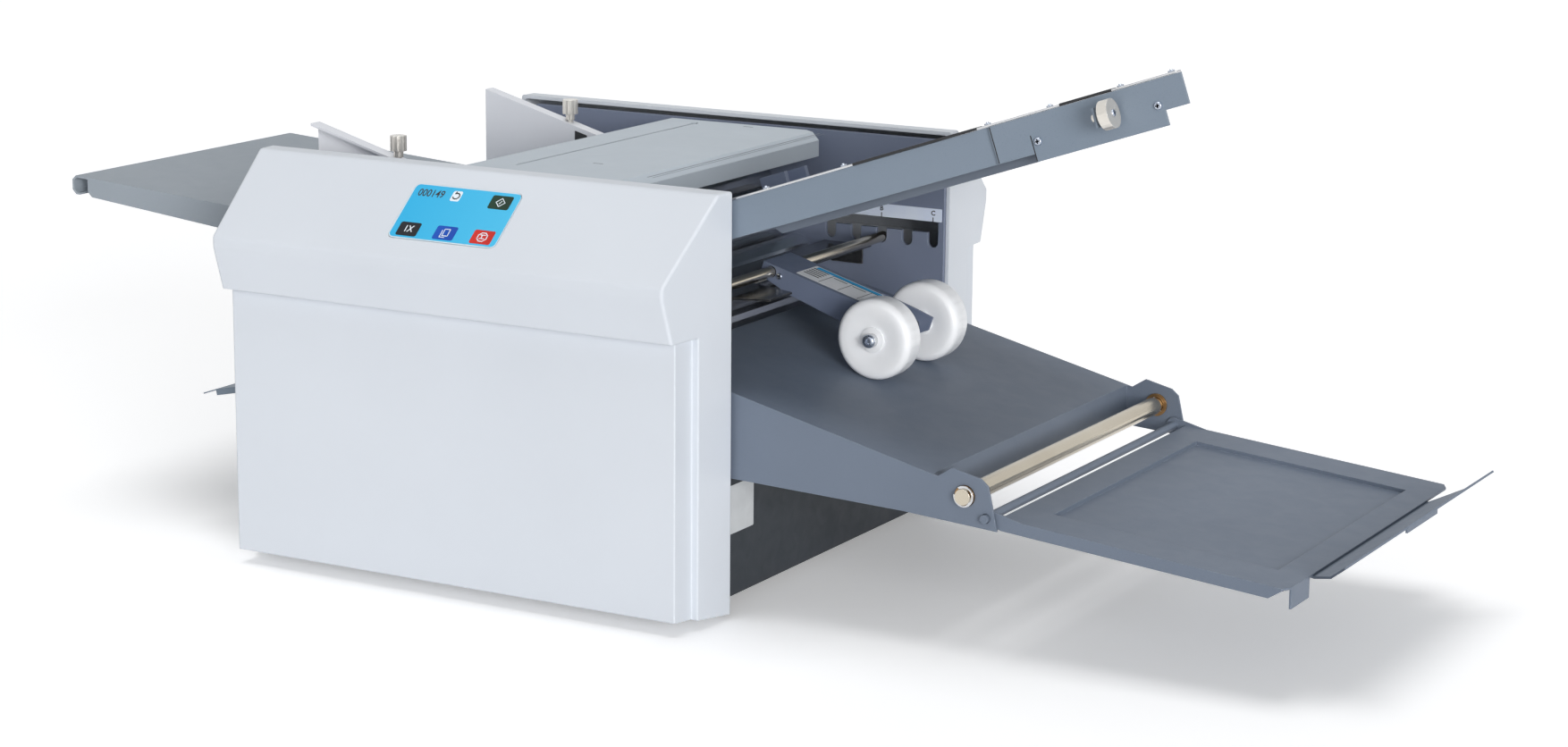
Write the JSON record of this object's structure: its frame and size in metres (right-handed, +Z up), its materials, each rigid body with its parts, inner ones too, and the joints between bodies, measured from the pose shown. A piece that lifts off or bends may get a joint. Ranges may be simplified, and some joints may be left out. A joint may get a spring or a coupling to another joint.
{
  "type": "desktop paper folding machine",
  "caption": "Desktop paper folding machine with a friction feed hopper, buckle fold plates, a wheel arm over the exit chute and a hinged stacking tray.",
  "frame": {"origin": "centre of the overall bounding box, at the level of the desk under the feet", "axes": "+X towards the stacking tray where folded sheets come out, +Y away from the operator's side with the touch panel, +Z up"},
  "size_m": [1.0469, 0.486, 0.4039],
  "materials": {
    "cover_plastic": "satin moulded",
    "painted_sheet": "satin paint",
    "lid_paint": "satin paint",
    "dark_paint": "satin paint",
    "pan_paint": "fine texture paint",
    "screen_face": "gloss",
    "wheel_nylon": "satin",
    "rubber": "matt",
    "bright_steel": "bright",
    "bearing_bronze": "satin",
    "board_green": "satin",
    "black_plastic": "satin",
    "guide_paint": "satin paint"
  },
  "bodies": {
    "chassis": {"base_pan": "pan_paint", "control_board": "board_green", "drive_belt": "rubber", "exit_chute": "painted_sheet", "exit_guide": "dark_paint", "feed_belt": "rubber", "fold_plate_channel": "painted_sheet", "fold_plate_grid": "bright_steel", "fold_plate_latch": "dark_paint", "foot_front_left": "rubber", "foot_front_right": "rubber", "foot_rear_left": "rubber", "foot_rear_right": "rubber", "front_cover": "cover_plastic", "front_frame_plate": "painted_sheet", "front_roller_bushing": "bearing_bronze", "hopper_table": "painted_sheet", "infeed_tray": "painted_sheet", "lower_fold_plate": "painted_sheet", "motor": "dark_paint", "power_inlet": "black_plastic", "rear_cover": "cover_plastic", "rear_frame_plate": "painted_sheet", "rear_roller_bushing": "bearing_bronze", "separator_holder": "black_plastic", "separator_pad": "rubber", "stop_bracket": "painted_sheet", "tie_bar": "bright_steel", "touch_screen": "screen_face", "upper_fold_plate": "painted_sheet", "wheel_shaft": "bright_steel"},
    "front_guide": {"front_side_guide": "guide_paint", "front_guide_clamp": "black_plastic"},
    "rear_guide": {"rear_side_guide": "guide_paint", "rear_guide_clamp": "black_plastic"},
    "front_thumb": {"front_guide_knob": "bright_steel"},
    "rear_thumb": {"rear_guide_knob": "bright_steel"},
    "lid": {"top_cover": "lid_paint"},
    "upper_stop": {"upper_paper_stop": "dark_paint"},
    "fine_knob": {"stop_knob": "bright_steel"},
    "lower_stop": {"lower_paper_stop": "dark_paint"},
    "wheel_arm": {"exit_wheel_arm": "dark_paint", "wheel_axle": "bright_steel"},
    "front_wheel": {"front_exit_wheel": "wheel_nylon"},
    "rear_wheel": {"rear_exit_wheel": "wheel_nylon"},
    "outfeed_roller": {"tray_roller": "bright_steel"},
    "tray": {"extension_tray": "painted_sheet", "tray_end_lip": "painted_sheet"},
    "feed_unit": {"feed_roller": "bright_steel", "feed_tyre_front": "rubber", "feed_tyre_middle": "rubber", "feed_tyre_rear": "rubber"},
    "roller_1": {"fold_roller_1": "bright_steel"},
    "roller_2": {"fold_roller_2": "bright_steel"},
    "roller_3": {"fold_roller_3": "bright_steel"},
    "roller_4": {"fold_roller_4": "bright_steel"},
    "motor_output": {"motor_pulley": "bright_steel"},
    "rocker": {"power_switch": "black_plastic"}
  },
  "joints": [
    {"name": "front_guide_slide", "type": "slide", "parent": "chassis", "child": "front_guide", "axis": [0, -1, 0], "range_m": [-0.05, 0.024]},
    {"name": "rear_guide_slide", "type": "slide", "parent": "chassis", "child": "rear_guide", "axis": [0, 1, 0], "range_m": [-0.05, 0.024]},
    {"name": "front_thumb_turn", "type": "hinge", "parent": "front_guide", "child": "front_thumb", "pos_m": [-0.2275, -0.115, 0.291], "axis": [0, 0, 1], "range_deg": [-90, 180]},
    {"name": "rear_thumb_turn", "type": "hinge", "parent": "rear_guide", "child": "rear_thumb", "pos_m": [-0.2275, 0.115, 0.291], "axis": [0, 0, 1], "range_deg": [-90, 180]},
    {"name": "lid_hinge", "type": "hinge", "parent": "chassis", "child": "lid", "pos_m": [-0.147, 0, 0.2815], "axis": [0, -1, 0], "range_deg": [0, 100]},
    {"name": "upper_stop_slide", "type": "slide", "parent": "chassis", "child": "upper_stop", "axis": [0.9463, 0, 0.3234], "range_m": [-0.12, 0.105]},
    {"name": "fine_knob_turn", "type": "hinge", "parent": "chassis", "child": "fine_knob", "pos_m": [0.35998, -0.1742, 0.37419], "axis": [0.9463, 0, 0.3234], "continuous": true},
    {"name": "lower_stop_slide", "type": "slide", "parent": "chassis", "child": "lower_stop", "axis": [-0.9784, 0, -0.2066], "range_m": [-0.05, 0.05]},
    {"name": "arm_lift", "type": "hinge", "parent": "chassis", "child": "wheel_arm", "pos_m": [0.0274, 0.009, 0.215], "axis": [0, -1, 0], "range_deg": [0, 28]},
    {"name": "front_wheel_spin", "type": "hinge", "parent": "wheel_arm", "child": "front_wheel", "pos_m": [0.12619, -0.028, 0.18001], "axis": [0, 1, 0], "continuous": true},
    {"name": "rear_wheel_spin", "type": "hinge", "parent": "wheel_arm", "child": "rear_wheel", "pos_m": [0.12619, 0.046, 0.18001], "axis": [0, 1, 0], "continuous": true},
    {"name": "outfeed_spin", "type": "hinge", "parent": "chassis", "child": "outfeed_roller", "pos_m": [0.2615, 0, 0.111], "axis": [0, 1, 0], "continuous": true},
    {"name": "tray_hinge", "type": "hinge", "parent": "chassis", "child": "tray", "pos_m": [0.277, 0, 0.0975], "axis": [0, -1, 0], "range_deg": [0, 70]},
    {"name": "roller_1_spin", "type": "hinge", "parent": "chassis", "child": "roller_1", "pos_m": [-0.07956, 0, 0.25028], "axis": [0, 1, 0], "continuous": true},
    {"name": "roller_2_spin", "type": "hinge", "parent": "chassis", "child": "roller_2", "pos_m": [-0.06844, 0, 0.21772], "axis": [0, 1, 0], "continuous": true},
    {"name": "roller_3_spin", "type": "hinge", "parent": "chassis", "child": "roller_3", "pos_m": [-0.04208, 0, 0.19561], "axis": [0, 1, 0], "continuous": true},
    {"name": "roller_4_spin", "type": "hinge", "parent": "chassis", "child": "roller_4", "pos_m": [-0.04059, 0, 0.16124], "axis": [0, 1, 0], "continuous": true},
    {"name": "feed_spin", "type": "hinge", "parent": "chassis", "child": "feed_unit", "pos_m": [-0.121, 0, 0.20758], "axis": [0, 1, 0], "continuous": true},
    {"name": "motor_spin", "type": "hinge", "parent": "chassis", "child": "motor_output", "pos_m": [-0.191, 0, 0.062], "axis": [0, 1, 0], "continuous": true},
    {"name": "rocker_tilt", "type": "hinge", "parent": "chassis", "child": "rocker", "pos_m": [-0.295, 0.052, 0.04], "axis": [0, 1, 0], "range_deg": [-8, 8]}
  ],
  "couplings": [
    {"joint": "roller_2_spin", "follows": "roller_1_spin", "ratio": -1},
    {"joint": "roller_3_spin", "follows": "roller_1_spin", "ratio": 1},
    {"joint": "roller_4_spin", "follows": "roller_1_spin", "ratio": -1},
    {"joint": "feed_spin", "follows": "roller_1_spin", "ratio": -1},
    {"joint": "motor_spin", "follows": "roller_1_spin", "ratio": -1.6}
  ]
}
